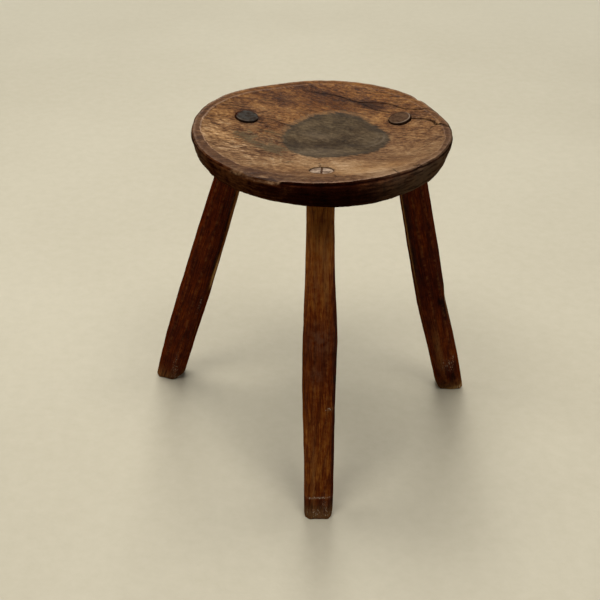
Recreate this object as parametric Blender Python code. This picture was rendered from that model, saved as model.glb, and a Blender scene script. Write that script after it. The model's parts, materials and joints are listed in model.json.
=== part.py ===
"""Three leg stool: a dished round seat on three hewn legs, joined by round through tenons.

Metres, +Z up, soles on the floor at Z = 0. The seat's grain runs along X, and the front leg is
on the -Y side. Each leg ends in a round tenon that passes through a slanted mortise in the seat;
the front tenon is split and spread by a wedge. The origin is the middle of the footprint.
"""

import math
from typing import NamedTuple

import bmesh
import bpy
from mathutils import Matrix, Vector

# Seat.
RIM_HEIGHT = 0.4345
SEAT_HALF_LENGTH = 0.1535
SEAT_HALF_WIDTH = 0.1490
SEAT_THICKNESS = 0.0360
SEAT_SEGMENTS = 96

# The seat's cross section, from the middle of the underside out, up the side, and in over the rim
# to the dish: (distance in from the outline, depth below the rim).
SEAT_PROFILE = (
    (0.0900, SEAT_THICKNESS),
    (0.0260, SEAT_THICKNESS),
    (0.0150, 0.0330),
    (0.0080, 0.0280),
    (0.0045, 0.0210),
    (0.0020, 0.0120),
    (0.0005, 0.0055),
    (0.0000, 0.0030),
    (0.0008, 0.0010),
    (0.0025, 0.0000),
    (0.0125, 0.0003),
    (0.0150, 0.0018),
    (0.0220, 0.0042),
    (0.0340, 0.0075),
    (0.0480, 0.0105),
    (0.0650, 0.0130),
    (0.0850, 0.0143),
    (0.1100, 0.0148),
)

# Legs.
TENON_RADIUS = 0.0142
FIT_GAP = 0.0003
SHOULDER_DROP = 0.0060
POINTS_PER_FACET = 4

# Each leg's stick runs on below the floor until its sole is cut.
FLOOR_OVERRUN = 0.0200
SOLE_CUT_TOLERANCE = 1e-7

# Each mortise's bore starts and ends this far outside the slab.
BORE_OVERRUN = SEAT_THICKNESS
BORE_SEGMENTS = 48

# Wedge in the front tenon.
WEDGE_LENGTH = 0.0220
WEDGE_TOP_THICKNESS = 0.0026
WEDGE_TIP_THICKNESS = 0.0010
WEDGE_BREADTH = 0.0262
WEDGE_TOP_SETBACK = 0.0008
KERF_BREADTH = 4 * TENON_RADIUS


class Leg(NamedTuple):
    """One leg. Places are on the floor plan, with the seat's centre at (0, 0)."""

    name: str
    foot: tuple          # middle of the sole, on the floor
    head: tuple          # middle of the tenon's end, just proud of the dish
    turn: float          # degrees that the broad face turns about the leg, from facing -Y
    sections: tuple      # (height, breadth, depth, chamfer, sideways bow) from the sole up
    color: tuple


LEGS = (
    Leg(
        "front_leg", (0.0010, -0.1780, 0.0), (-0.0014, -0.0914, 0.4239), 3.0,
        (
            (0.000, 0.0345, 0.0330, 0.0050, 0.0000),
            (0.060, 0.0355, 0.0340, 0.0050, 0.0000),
            (0.170, 0.0390, 0.0370, 0.0060, 0.0000),
            (0.230, 0.0395, 0.0370, 0.0060, 0.0000),
            (0.290, 0.0360, 0.0345, 0.0065, -0.0003),
            (0.375, 0.0316, 0.0316, 0.0070, -0.0006),
        ),
        (0.20, 0.075, 0.030),
    ),
    Leg(
        "left_leg", (-0.2090, 0.1110, 0.0), (-0.0907, 0.0558, 0.4256), -22.0,
        (
            (0.000, 0.0340, 0.0335, 0.0065, 0.0000),
            (0.070, 0.0370, 0.0360, 0.0070, -0.0012),
            (0.160, 0.0385, 0.0370, 0.0080, -0.0008),
            (0.250, 0.0370, 0.0360, 0.0080, 0.0000),
            (0.375, 0.0320, 0.0320, 0.0080, 0.0000),
        ),
        (0.17, 0.060, 0.028),
    ),
    Leg(
        "right_leg", (0.1900, 0.0920, 0.0), (0.0945, 0.0513, 0.4266), 14.0,
        (
            (0.000, 0.0345, 0.0340, 0.0060, 0.0000),
            (0.060, 0.0350, 0.0345, 0.0065, -0.0010),
            (0.150, 0.0355, 0.0350, 0.0070, -0.0032),
            (0.240, 0.0350, 0.0350, 0.0070, -0.0020),
            (0.375, 0.0340, 0.0338, 0.0075, 0.0014),
        ),
        (0.18, 0.064, 0.028),
    ),
)

SEAT_COLOR = (0.22, 0.13, 0.07)
WEDGE_COLOR = (0.30, 0.17, 0.10)
WOOD_ROUGHNESS = 0.55
# Edges that turn by more than this many degrees stay sharp.
SHARP_ANGLE = 30.0


def clear_scene():
    for existing in list(bpy.data.objects):
        bpy.data.objects.remove(existing, do_unlink=True)


def wood(name, color):
    """A plain wood finish of one colour."""
    material = bpy.data.materials.new(name)
    material.use_nodes = True
    shader = material.node_tree.nodes["Principled BSDF"]
    shader.inputs["Base Color"].default_value = (*color, 1.0)
    shader.inputs["Roughness"].default_value = WOOD_ROUGHNESS
    shader.inputs["Metallic"].default_value = 0.0
    return material


def add_object(name, mesh_builder, material=None):
    """A new object from a bmesh, with its faces pointing out."""
    bmesh.ops.recalc_face_normals(mesh_builder, faces=mesh_builder.faces)
    mesh = bpy.data.meshes.new(name)
    mesh_builder.to_mesh(mesh)
    mesh_builder.free()
    mesh.shade_smooth()
    mesh.set_sharp_from_angle(angle=math.radians(SHARP_ANGLE))
    if material is not None:
        mesh.materials.append(material)
    piece = bpy.data.objects.new(name, mesh)
    bpy.context.scene.collection.objects.link(piece)
    return piece


def loft(mesh_builder, rings):
    """Joins rings of points into a closed skin, with a flat cap at each end."""
    loops = []
    for ring in rings:
        loops.append([mesh_builder.verts.new(point) for point in ring])
    count = len(loops[0])
    for lower, upper in zip(loops, loops[1:]):
        for i in range(count):
            j = (i + 1) % count
            mesh_builder.faces.new((lower[i], lower[j], upper[j], upper[i]))
    mesh_builder.faces.new(reversed(loops[0]))
    mesh_builder.faces.new(loops[-1])


def cut_at_floor(mesh_builder, to_world):
    """Cuts a leg off level with the floor, and closes the cut as a flat sole."""
    to_local = to_world.inverted()
    everything = mesh_builder.verts[:] + mesh_builder.edges[:] + mesh_builder.faces[:]
    result = bmesh.ops.bisect_plane(
        mesh_builder,
        geom=everything,
        dist=SOLE_CUT_TOLERANCE,
        plane_co=to_local.translation,
        plane_no=to_local.to_3x3() @ Vector((0.0, 0.0, 1.0)),
        clear_inner=True,
    )
    rim = [e for e in result["geom_cut"] if isinstance(e, bmesh.types.BMEdge)]
    bmesh.ops.edgeloop_fill(mesh_builder, edges=rim)


def as_cutter(piece):
    piece.hide_render = True
    piece.display_type = "WIRE"
    return piece


def cut_with(piece, cutter):
    """Takes the cutter's shape out of the piece."""
    boolean = piece.modifiers.new("cut_" + cutter.name, "BOOLEAN")
    boolean.operation = "DIFFERENCE"
    boolean.solver = "EXACT"
    boolean.object = cutter


def seat_ring(inset, depth):
    """One level ring of the seat, a given distance in from its oval outline."""
    height = RIM_HEIGHT - depth
    ring = []
    for i in range(SEAT_SEGMENTS):
        angle = math.tau * i / SEAT_SEGMENTS
        x = (SEAT_HALF_LENGTH - inset) * math.cos(angle)
        y = (SEAT_HALF_WIDTH - inset) * math.sin(angle)
        ring.append(Vector((x, y, height)))
    return ring


def make_seat():
    """The dished slab, before its mortises are bored."""
    mesh_builder = bmesh.new()
    loft(mesh_builder, [seat_ring(inset, depth) for inset, depth in SEAT_PROFILE])
    return add_object("seat", mesh_builder, wood("seat_wood", SEAT_COLOR))


def leg_placement(leg):
    """The leg's own frame in the world: origin at the sole, Z up the leg, -Y out of its broad face."""
    axis = Vector(leg.head) - Vector(leg.foot)
    tilt = Vector((0.0, 0.0, 1.0)).rotation_difference(axis).to_matrix()
    turn = Matrix.Rotation(math.radians(leg.turn), 3, "Z")
    return Matrix.Translation(leg.foot) @ (tilt @ turn).to_4x4()


def leg_length(leg):
    """The length of a leg along its axis, from the middle of the sole to the tenon's end."""
    return (Vector(leg.head) - Vector(leg.foot)).length


def length_along(leg, height):
    """How far up the leg's axis it reaches a height above the floor."""
    return leg_length(leg) * height / leg.head[2]


def hewn_ring(distance, breadth, depth, chamfer, bow):
    """A rectangle with its corners taken off, as evenly many points on each of its eight facets."""
    a = breadth / 2
    b = depth / 2
    corners = (
        (a, chamfer - b), (a, b - chamfer), (a - chamfer, b), (chamfer - a, b),
        (-a, b - chamfer), (-a, chamfer - b), (chamfer - a, -b), (a - chamfer, -b),
    )
    ring = []
    for start, end in zip(corners, corners[1:] + corners[:1]):
        for i in range(POINTS_PER_FACET):
            share = i / POINTS_PER_FACET
            x = start[0] + (end[0] - start[0]) * share
            y = start[1] + (end[1] - start[1]) * share
            ring.append(Vector((x + bow, y, distance)))
    return ring


def round_ring(pattern, distance):
    """The tenon's round ring, with its points in line with a hewn ring's."""
    ring = []
    for point in pattern:
        spoke = Vector((point.x, point.y, 0.0)).normalized() * TENON_RADIUS
        ring.append(Vector((spoke.x, spoke.y, distance)))
    return ring


def make_leg(leg, parent):
    """A hewn leg: chamfered square below, a short taper, then the round tenon, cut off square."""
    placement = leg_placement(leg)
    rings = [hewn_ring(-FLOOR_OVERRUN, *leg.sections[0][1:])]
    for height, *shape in leg.sections:
        rings.append(hewn_ring(length_along(leg, height), *shape))
    tenon_start = length_along(leg, RIM_HEIGHT - SEAT_THICKNESS) - SHOULDER_DROP
    tenon_pattern = rings[-1]
    rings.append(round_ring(tenon_pattern, tenon_start))
    rings.append(round_ring(tenon_pattern, leg_length(leg)))
    mesh_builder = bmesh.new()
    loft(mesh_builder, rings)
    cut_at_floor(mesh_builder, placement)
    piece = add_object(leg.name, mesh_builder, wood(leg.name + "_wood", leg.color))
    piece.matrix_world = placement
    piece.parent = parent
    return piece


def make_mortise_cutter(leg, parent):
    """A round bore through the seat, in line with the leg and a fit gap wider than its tenon."""
    start = length_along(leg, RIM_HEIGHT - SEAT_THICKNESS - BORE_OVERRUN)
    end = length_along(leg, RIM_HEIGHT + BORE_OVERRUN)
    mesh_builder = bmesh.new()
    bmesh.ops.create_cone(
        mesh_builder,
        cap_ends=True,
        segments=BORE_SEGMENTS,
        radius1=TENON_RADIUS + FIT_GAP,
        radius2=TENON_RADIUS + FIT_GAP,
        depth=end - start,
        matrix=Matrix.Translation((0.0, 0.0, (start + end) / 2)),
    )
    cutter = as_cutter(add_object(leg.name + "_mortise_cutter", mesh_builder))
    cutter.matrix_world = leg_placement(leg)
    cutter.parent = parent
    return cutter


def wedge_mesh(breadth, top_thickness, tip_thickness, top, tip):
    """A tapering slip that lies across X and runs down the leg's axis from top to tip."""
    mesh_builder = bmesh.new()
    rings = []
    for distance, thickness in ((tip, tip_thickness), (top, top_thickness)):
        x = thickness / 2
        y = breadth / 2
        rings.append([Vector((i, j, distance)) for i, j in ((x, -y), (x, y), (-x, y), (-x, -y))])
    loft(mesh_builder, rings)
    return mesh_builder


def make_wedge(leg, tenon, parent):
    """The wedge in a tenon, and the kerf that it fills."""
    end = leg_length(leg)
    top = end - WEDGE_TOP_SETBACK
    tip = top - WEDGE_LENGTH
    mesh_builder = wedge_mesh(WEDGE_BREADTH, WEDGE_TOP_THICKNESS, WEDGE_TIP_THICKNESS, top, tip)
    wedge = add_object("front_wedge", mesh_builder, wood("wedge_wood", WEDGE_COLOR))
    taper = (WEDGE_TOP_THICKNESS - WEDGE_TIP_THICKNESS) / WEDGE_LENGTH
    kerf_top = end + WEDGE_LENGTH
    kerf_tip = tip - FIT_GAP
    kerf = wedge_mesh(
        KERF_BREADTH,
        WEDGE_TOP_THICKNESS + 2 * FIT_GAP + taper * (kerf_top - top),
        WEDGE_TIP_THICKNESS + 2 * FIT_GAP - taper * FIT_GAP,
        kerf_top,
        kerf_tip,
    )
    kerf_cutter = as_cutter(add_object("front_kerf_cutter", kerf))
    for piece in (wedge, kerf_cutter):
        piece.matrix_world = leg_placement(leg)
        piece.parent = parent
    cut_with(tenon, kerf_cutter)
    return wedge


def centre_footprint(parent, pieces):
    """Moves the stool so that the middle of its footprint is the origin."""
    bpy.context.view_layer.update()
    corners = [piece.matrix_world @ vertex.co for piece in pieces for vertex in piece.data.vertices]
    for axis in (0, 1):
        values = [corner[axis] for corner in corners]
        parent.location[axis] = -(min(values) + max(values)) / 2


def build():
    clear_scene()
    stool = bpy.data.objects.new("stool", None)
    bpy.context.scene.collection.objects.link(stool)
    seat = make_seat()
    seat.parent = stool
    pieces = [seat]
    for leg in LEGS:
        piece = make_leg(leg, stool)
        cut_with(seat, make_mortise_cutter(leg, stool))
        pieces.append(piece)
    pieces.append(make_wedge(LEGS[0], pieces[1], stool))
    centre_footprint(stool, pieces)


build()
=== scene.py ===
"""The looks of the three leg stool: hewn, dished, cracked and worn wood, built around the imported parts.

Every piece is a closed mesh shaped in code. The seat is a dished slab with its mortises and cracks cut
through it. The legs are hewn sticks whose facets wander as a blade leaves them. Each piece carries the
solid coordinates of the log it came from, so its grain runs through it and shows as rings on cut ends.
"""

import itertools
import json
import math
from types import SimpleNamespace

import bmesh
import bpy
import numpy as np
from mathutils import Matrix, Vector


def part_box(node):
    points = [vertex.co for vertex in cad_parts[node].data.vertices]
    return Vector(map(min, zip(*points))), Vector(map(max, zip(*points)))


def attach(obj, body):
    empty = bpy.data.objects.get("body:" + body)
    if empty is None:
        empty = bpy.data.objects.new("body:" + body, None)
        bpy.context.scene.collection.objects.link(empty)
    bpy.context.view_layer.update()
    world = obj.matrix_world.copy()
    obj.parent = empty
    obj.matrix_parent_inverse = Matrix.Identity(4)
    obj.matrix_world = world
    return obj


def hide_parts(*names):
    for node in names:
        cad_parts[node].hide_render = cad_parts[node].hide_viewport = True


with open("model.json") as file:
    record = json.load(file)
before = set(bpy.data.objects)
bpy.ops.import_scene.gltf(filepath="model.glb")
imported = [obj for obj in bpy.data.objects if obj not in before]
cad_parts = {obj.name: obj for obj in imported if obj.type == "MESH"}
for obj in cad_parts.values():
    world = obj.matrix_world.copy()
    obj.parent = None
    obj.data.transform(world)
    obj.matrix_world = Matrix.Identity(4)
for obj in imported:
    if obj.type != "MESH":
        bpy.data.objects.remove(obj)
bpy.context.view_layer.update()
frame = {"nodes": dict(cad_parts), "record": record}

MM = 0.001

# The seat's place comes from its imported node.
SEAT_LOW, SEAT_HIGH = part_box("seat")
SEAT_CENTRE = (SEAT_LOW + SEAT_HIGH) / 2
RIM_HEIGHT = SEAT_HIGH.z


# ---------------------------------------------------------------- numbers and noise

LATTICE_STRIDES = np.array((73856093, 19349663, 83492791), dtype=np.int64)
LATTICE_MIX = np.int64(1274126177)
LATTICE_MASK = np.int64(0x7FFFFFFF)


def noise(points, cell, seed):
    """Smooth noise from -1 to 1. cell is the size of its features: one length, or one for each axis."""
    scaled = np.asarray(points, float) / np.asarray(cell, float)
    base = np.floor(scaled).astype(np.int64)
    part = scaled - base
    blend = part * part * (3 - 2 * part)
    total = np.zeros(len(scaled))
    for corner in itertools.product((0, 1), repeat=3):
        mixed = ((base + corner) * LATTICE_STRIDES).sum(axis=1) + seed * 7919
        mixed = (mixed ^ (mixed >> 13)) & LATTICE_MASK
        mixed = (mixed * LATTICE_MIX) & LATTICE_MASK
        mixed = mixed ^ (mixed >> 16)
        value = (mixed & 0xFFFF) / 32767.5 - 1
        weight = np.prod(np.where(corner, blend, 1 - blend), axis=1)
        total += value * weight
    return total


def smooth_step(low, high, value):
    share = np.clip((value - low) / (high - low), 0, 1)
    return share * share * (3 - 2 * share)


def around(angle, values):
    """A smooth closed curve through values given at even steps round the circle from angle 0."""
    count = len(values)
    place = np.mod(angle, math.tau) / math.tau * count
    index = np.floor(place).astype(int)
    t = place - index
    v = np.asarray(values, float)
    p0, p1, p2, p3 = (v[(index + k) % count] for k in (-1, 0, 1, 2))
    bend = (2 * p0 - 5 * p1 + 4 * p2 - p3) * t + (3 * p1 - p0 - 3 * p2 + p3) * t * t
    return p1 + 0.5 * t * ((p2 - p0) + bend)


def polar(x, y):
    return np.hypot(x, y), np.arctan2(y, x)


def flat(x, y):
    """Points on a level plane."""
    return np.column_stack((x, y, np.zeros_like(x)))


def turn_from(angle, degrees):
    """How far round a direction is from another one, as an angle either way."""
    return np.angle(np.exp(1j * (angle - math.radians(degrees))))


def distance_to_path(x, y, path):
    """Distance in plan to a polyline."""
    nearest = np.full_like(x, 1e3)
    for (ax, ay), (bx, by) in zip(path, path[1:]):
        length = (bx - ax) ** 2 + (by - ay) ** 2
        share = np.clip(((x - ax) * (bx - ax) + (y - ay) * (by - ay)) / length, 0, 1)
        nearest = np.minimum(nearest, np.hypot(x - ax - share * (bx - ax), y - ay - share * (by - ay)))
    return nearest


def patch(x, y, centre_x, centre_y, length, width, turn=-25.0):
    """A soft oval, which lies along the seat's grain unless it is turned another way."""
    cosine = math.cos(math.radians(turn))
    sine = math.sin(math.radians(turn))
    along = (x - centre_x) * cosine + (y - centre_y) * sine
    across = (y - centre_y) * cosine - (x - centre_x) * sine
    return np.exp(-(along / length) ** 2 - (across / width) ** 2)


def patches(x, y, *ovals):
    """The sum of soft ovals, each given as its amount and then what patch() takes."""
    return sum(amount * patch(x, y, *oval) for amount, *oval in ovals)


# ---------------------------------------------------------------- meshes

def add_object(name, data):
    piece = bpy.data.objects.new(name, data)
    bpy.context.scene.collection.objects.link(piece)
    return piece


def mesh_object(name, vertices, faces):
    mesh = bpy.data.meshes.new(name)
    mesh.from_pydata([tuple(v) for v in vertices], [], faces)
    mesh.validate()
    mesh.shade_smooth()
    return add_object(name, mesh)


def coordinates(piece):
    values = np.zeros(len(piece.data.vertices) * 3, np.float32)
    piece.data.vertices.foreach_get("co", values)
    return values.reshape(-1, 3).astype(float)


def paint(piece, **fields):
    """Stores numbers or vectors, one for each vertex, for the material to read by name."""
    for name, values in fields.items():
        values = np.asarray(values, np.float32)
        kind, item = ("FLOAT", "value") if values.ndim == 1 else ("FLOAT_VECTOR", "vector")
        piece.data.attributes.new(name, kind, "POINT").data.foreach_set(item, values.ravel())


def face_out(piece):
    """Turns all of a closed mesh's faces outwards."""
    builder = bmesh.new()
    builder.from_mesh(piece.data)
    bmesh.ops.recalc_face_normals(builder, faces=builder.faces)
    builder.to_mesh(piece.data)
    builder.free()
    return piece


def cut_away(piece, cutters):
    """Takes the cutters' shapes out of the piece for good, then removes the cutters."""
    collection = bpy.data.collections.new("cutters")
    bpy.context.scene.collection.children.link(collection)
    for cutter in cutters:
        bpy.context.scene.collection.objects.unlink(cutter)
        collection.objects.link(cutter)
    boolean = piece.modifiers.new("cut", "BOOLEAN")
    boolean.operation = "DIFFERENCE"
    boolean.solver = "EXACT"
    boolean.operand_type = "COLLECTION"
    boolean.collection = collection
    boolean.use_self = len(cutters) > 1
    bpy.context.view_layer.update()
    evaluated = piece.evaluated_get(bpy.context.evaluated_depsgraph_get())
    result = bpy.data.meshes.new_from_object(evaluated)
    piece.modifiers.clear()
    piece.data = result
    for cutter in cutters:
        bpy.data.objects.remove(cutter, do_unlink=True)
    bpy.data.collections.remove(collection)


def loft_faces(ring_count, size, first=0):
    """Quads between rings of equal size, stored one after another from index first."""
    faces = []
    for a in range(first, first + (ring_count - 1) * size, size):
        for i in range(size):
            j = (i + 1) % size
            faces.append((a + i, a + j, a + size + j, a + size + i))
    return faces


def half_ring_faces(outer, inner, size):
    """Faces from a ring of size points to a ring of half as many."""
    faces = []
    for i in range(size // 2):
        a = outer + 2 * i
        c = outer + (2 * i + 2) % size
        p = inner + i
        q = inner + (i + 1) % (size // 2)
        faces += [(a, a + 1, p), (a + 1, q, p), (a + 1, c, q)]
    return faces


def grid_faces(columns, rows):
    """Quads over a grid of points, stored row by row."""
    row = columns + 1
    starts = [j * row + i for j in range(rows) for i in range(columns)]
    return [(k, k + 1, k + row + 1, k + row) for k in starts]


def grid_rim(columns, rows):
    """The points round the edge of a grid, in order."""
    row = columns + 1
    rim = list(range(columns))
    rim += [j * row + columns for j in range(rows)]
    rim += [rows * row + columns - i for i in range(columns)]
    return rim + [(rows - j) * row for j in range(rows)]


# ---------------------------------------------------------------- the seat's shape

# All in seat coordinates: millimetres from the seat's middle, +X right, +Y to the back.
# Lists of values round the seat are at even steps, from the +X side towards the back.
OUTLINE = (153.0, 149.5, 153.0, 152.5, 150.5, 147.5, 155.0, 156.0,
           153.5, 151.5, 150.5, 150.5, 150.5, 149.5, 148.5, 152.0)
RIM_BAND = (9.5, 11.0, 13.0, 13.0, 13.0, 12.5, 12.0, 10.5,
            10.5, 15.0, 17.0, 22.5, 26.0, 24.0, 16.5, 10.5)
RIM_STEP = (1.5, 1.2, 1.0, 1.0, 1.0, 1.4, 1.6, 1.8,
            1.9, 1.8, 1.5, 0.7, 0.3, 0.3, 0.5, 1.0)

# Down the side: distance in from the outline, and depth below the rim.
SIDE_INSET = (2.6, 1.3, 0.4, 0.0, 0.3, 1.3, 2.9, 4.6, 6.6, 9.5, 14.5, 22.0, 30.0)
SIDE_DEPTH = (0.0, 0.35, 1.3, 3.2, 6.5, 11.5, 17.0, 21.5, 25.5, 29.5, 33.0, 35.2, 36.0)
SIDE_RINGS = 36
# How much further in the top's edge is than the outline, where it is rubbed round.
ROUNDED_OVER = (0.0, 0.0, 0.0, 0.0, 0.0, 0.0, 0.0, 0.0, 0.0, 0.0, 1.6, 4.6, 8.4, 9.4, 4.6, 1.8)
ROUNDED_DEPTH = 5.0
# Thickness by direction, as a share of the whole.
THICKNESS_SHARE = (1.02, 1.0, 1.0, 1.0, 1.0, 1.0, 0.99, 0.98,
                   0.98, 0.99, 0.975, 0.93, 0.965, 1.01, 1.045, 1.05)

# The dish: distance in from the rim's inner edge, and depth below it.
DISH_INSET = (0.0, 8.0, 20.0, 34.0, 50.0, 70.0, 100.0)
DISH_DEPTH = (0.0, 2.6, 6.3, 9.3, 11.6, 13.3, 14.2)

TOP_CELLS = 208
GRAIN_ANGLE = math.radians(-25.0)

# Cracks: points along each, then its width and depth at its two ends and middle.
CRACKS = (
    (((158, 2), (153, 7), (145, 14), (136, 23), (130, 35), (119, 44), (107, 50)),
     (2.6, 3.0, 1.8), (18, 15, 6)),
    (((155, 41), (150, 46), (141, 55), (131, 59), (116, 65), (100, 75), (89, 85), (79, 92),
      (65, 97), (55, 100), (38, 106), (24, 114), (11, 119), (-22, 124)),
     (1.1, 1.4, 0.7), (10, 6, 2.5)),
    (((84, 71), (76, 75), (69, 79), (63, 84), (58, 90), (52, 97)), (1.0, 2.4, 0.8), (1.2, 1.8, 0.6)),
    (((137, 20), (131, 18), (126, 13)), (0.8, 0.6, 0.4), (2, 1.4, 0.8)),
    (((-76, 30), (-61, 24), (-47, 17)), (0.4, 0.8, 0.4), (0.8, 1.3, 0.8)),
    (((-66, 60), (-52, 49), (-36, 38)), (0.4, 0.8, 0.4), (1, 2, 1)),
    (((-118, -16), (-100, -26), (-82, -33)), (0.4, 0.8, 0.4), (1, 2, 1)),
    (((104, -42), (116, -31), (128, -19)), (0.3, 0.5, 0.3), (0.5, 0.7, 0.5)),
    (((8, -108), (12, -116), (14, -125)), (0.5, 0.9, 0.6), (1.2, 1.8, 1.2)),
    (((-3.4, -66), (-3, -72), (-3, -80)), (0.3, 0.5, 0.6), (0.5, 0.9, 1.2)),
    (((76, -104), (81, -112), (87, -117)), (0.4, 1.3, 0.6), (1, 1.6, 1)),
    (((101, -96), (106, -91), (112, -97)), (0.8, 2.4, 0.8), (1, 1.8, 1)),
)

# The underside's rings, from its edge inwards: each one's reach as a share of the outline's.
UNDERSIDE_SHARES = (0.74, 0.66, 0.50, 0.32, 0.16)
UNDERSIDE_LEAST_POINTS = 52
UNDERSIDE_LIFT = 0.6
MIDDLE_SHARE = 0.972
CRACK_CUTTER_RISE = 3.0


def seat_local(points):
    """Seat coordinates in millimetres, with Z as the depth below the rim."""
    x, y, z = np.asarray(points).T
    return (x - SEAT_CENTRE.x) / MM, (y - SEAT_CENTRE.y) / MM, (RIM_HEIGHT - z) / MM


def seat_world(x, y, depth):
    return np.column_stack((SEAT_CENTRE.x + x * MM, SEAT_CENTRE.y + y * MM, RIM_HEIGHT - depth * MM))


def ring_noise(angle, cell, seed):
    """Noise round a circle, with its cell as a share of the radius."""
    return noise(flat(np.cos(angle), np.sin(angle)), cell, seed)


def outline(angle):
    """How far the seat's edge is from its middle, by direction."""
    return around(angle, OUTLINE) + 0.5 * ring_noise(angle, 0.07, 3) + 0.2 * ring_noise(angle, 0.025, 4)


def top_reach(angle):
    """How far the seat's top reaches, inside its rounded edge."""
    return outline(angle) - SIDE_INSET[0] - around(angle, ROUNDED_OVER)


def rim_inside(angle):
    """Distance from the outline to the rim's worn inner edge."""
    return around(angle, RIM_BAND) + 1.0 * ring_noise(angle, 0.13, 5) + 0.4 * ring_noise(angle, 0.04, 6)


def grain_coordinates(x, y):
    """Along and across the seat's grain, in millimetres."""
    along = x * math.cos(GRAIN_ANGLE) + y * math.sin(GRAIN_ANGLE)
    across = y * math.cos(GRAIN_ANGLE) - x * math.sin(GRAIN_ANGLE)
    return along, across


def dish_depth(x, y):
    """Depth of the seat's top below the rim, at any point inside the outline."""
    radius, angle = polar(x, y)
    inset = outline(angle) - radius
    band = rim_inside(angle)
    inside = inset - band
    step = around(angle, RIM_STEP)
    soft = 1.2 + 3.0 * smooth_step(0.7, 1.6, 1.9 - step)
    depth = step * smooth_step(-soft * 0.5, soft, inside)
    depth += np.interp(inside, DISH_INSET, DISH_DEPTH)
    depth += 1.2 * smooth_step(0.2, 1.0, -np.sin(angle)) * smooth_step(band, 0, inset)
    solid = flat(*grain_coordinates(x, y))
    hewn = 0.42 * noise(solid, (34, 15, 1), 11) + 0.22 * noise(solid, (18, 7, 1), 12)
    fibre = 0.10 * noise(solid, (16, 2.6, 1), 13) + 0.05 * noise(solid, (9, 1.3, 1), 14)
    depth += hewn * smooth_step(-2, 10, inside) + fibre
    return depth + 0.25 * noise(solid, (9, 9, 1), 15) * (1 - smooth_step(-3, 3, inside))


# Nicks and chips round the top and its edge: how much deeper each makes the surface, and where.
DENTS = (
    (2.2, 104, -90, 3, 7, 0),
    (1.6, 118, -96, 6, 4, 0),
    (3.2, -62, -137, 16, 7, 0),
    (2.4, -86, -124, 9, 6, 0),
    (1.4, 60, -139, 7, 4, 0),
    (1.2, -153, 18, 4, 8, 0),
    (1.5, 121, 92, 7, 4, 0),
    (0.9, 62, 118, 14, 5, 0),
    (1.2, 45, 101, 16, 5, 0),
    (0.7, -52, 20, 12, 7, 0),
)
SPLINTERED_PATH = ((-97, -112), (-84, -121), (-66, -130), (-53, -134))


def splintered(x, y):
    """How far into the splintered stretch of the front left rim a point is."""
    return smooth_step(8.5, 3.5, distance_to_path(x, y, SPLINTERED_PATH))


def dents(x, y):
    """How much deeper nicks, chips and splinters make the surface."""
    splinters = noise(flat(x - 0.4 * y, y + 0.4 * x), (8, 2.6, 1), 16)
    return patches(x, y, *DENTS) + splintered(x, y) * (0.5 + 0.8 * splinters)


def top_depth(x, y):
    """Depth of the finished top below the rim."""
    return dish_depth(x, y) + dents(x, y)


def disc_grid(cells):
    """Unit disc points on a grid that keeps its cells nearly square."""
    steps = np.linspace(-1, 1, cells + 1)
    a, b = (g.ravel() for g in np.meshgrid(steps, steps))
    wide = np.abs(a) > np.abs(b)
    radius = np.where(wide, a, b)
    with np.errstate(divide="ignore", invalid="ignore"):
        turn = np.where(wide, math.pi / 4 * b / a, math.pi / 2 - math.pi / 4 * a / b)
    turn = np.where(radius == 0, 0, turn)
    return radius * np.cos(turn), radius * np.sin(turn)


def thickness_share(x, y):
    """The slab's thickness under a point, against its usual thickness."""
    radius, angle = polar(x, y)
    return 1 + (around(angle, THICKNESS_SHARE) - 1) * np.clip(radius / 150, 0, 1)


def underside_depth(x, y):
    """Depth of the slab's underside below the rim, near enough."""
    radius, angle = polar(x, y)
    inset = outline(angle) - radius
    return np.interp(inset, (*SIDE_INSET[3:], 40.0), (*SIDE_DEPTH[3:], 35.4)) * thickness_share(x, y)


def front_ledge(angle, depth):
    """A thin ledge that runs along the front, just below the top's edge."""
    reach = smooth_step(0.50, 0.28, np.abs(angle + 1.43))
    return reach * np.exp(-((depth - 3.1) / 0.7) ** 2)


def side_ring(angle, inset, depth):
    """A ring round the side or underside, hewn in shallow facets."""
    radius = outline(angle) - inset - around(angle, ROUNDED_OVER) * math.exp(-depth / ROUNDED_DEPTH)
    below = smooth_step(2.0, 9.0, depth)
    right = smooth_step(0.6, 1.0, np.cos(angle + 0.1)) * np.sin(math.pi * np.clip(depth / 30, 0, 1))
    radius = radius - 1.2 * right + 0.7 * front_ledge(angle, depth)
    facet = np.mod(angle * 4.3 + 0.35 * np.sin(3 * angle + depth * 0.05), 1.0)
    radius = radius + below * 0.9 * (0.3 - np.abs(facet - 0.5))
    skin = np.column_stack((radius * np.cos(angle), radius * np.sin(angle), np.full_like(angle, depth)))
    radius = radius + below * (0.55 * noise(skin, (17, 17, 9), 21) + 0.18 * noise(skin, (5, 5, 3), 22))
    x = radius * np.cos(angle)
    y = radius * np.sin(angle)
    return x, y, depth * (1 + below * (thickness_share(x, y) - 1))


def side_rings(angle, edge_depth):
    """Rings down the side, each worn and chipped along with the top's edge above it."""
    steps = np.linspace(0, len(SIDE_INSET) - 1, SIDE_RINGS)[1:]
    insets = np.interp(steps, range(len(SIDE_INSET)), SIDE_INSET)
    depths = np.interp(steps, range(len(SIDE_INSET)), SIDE_DEPTH)
    rings = []
    for inset, level in zip(insets, depths):
        x, y, depth = side_ring(angle, inset, level)
        chip = dents(x, y) * np.exp(-level / 9.0)
        pull = 1 - 0.55 * chip / outline(angle)
        worn = edge_depth * (1 - smooth_step(0, 7.0, level))
        rings.append(np.column_stack((x * pull, y * pull, depth + worn)))
    return rings


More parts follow.
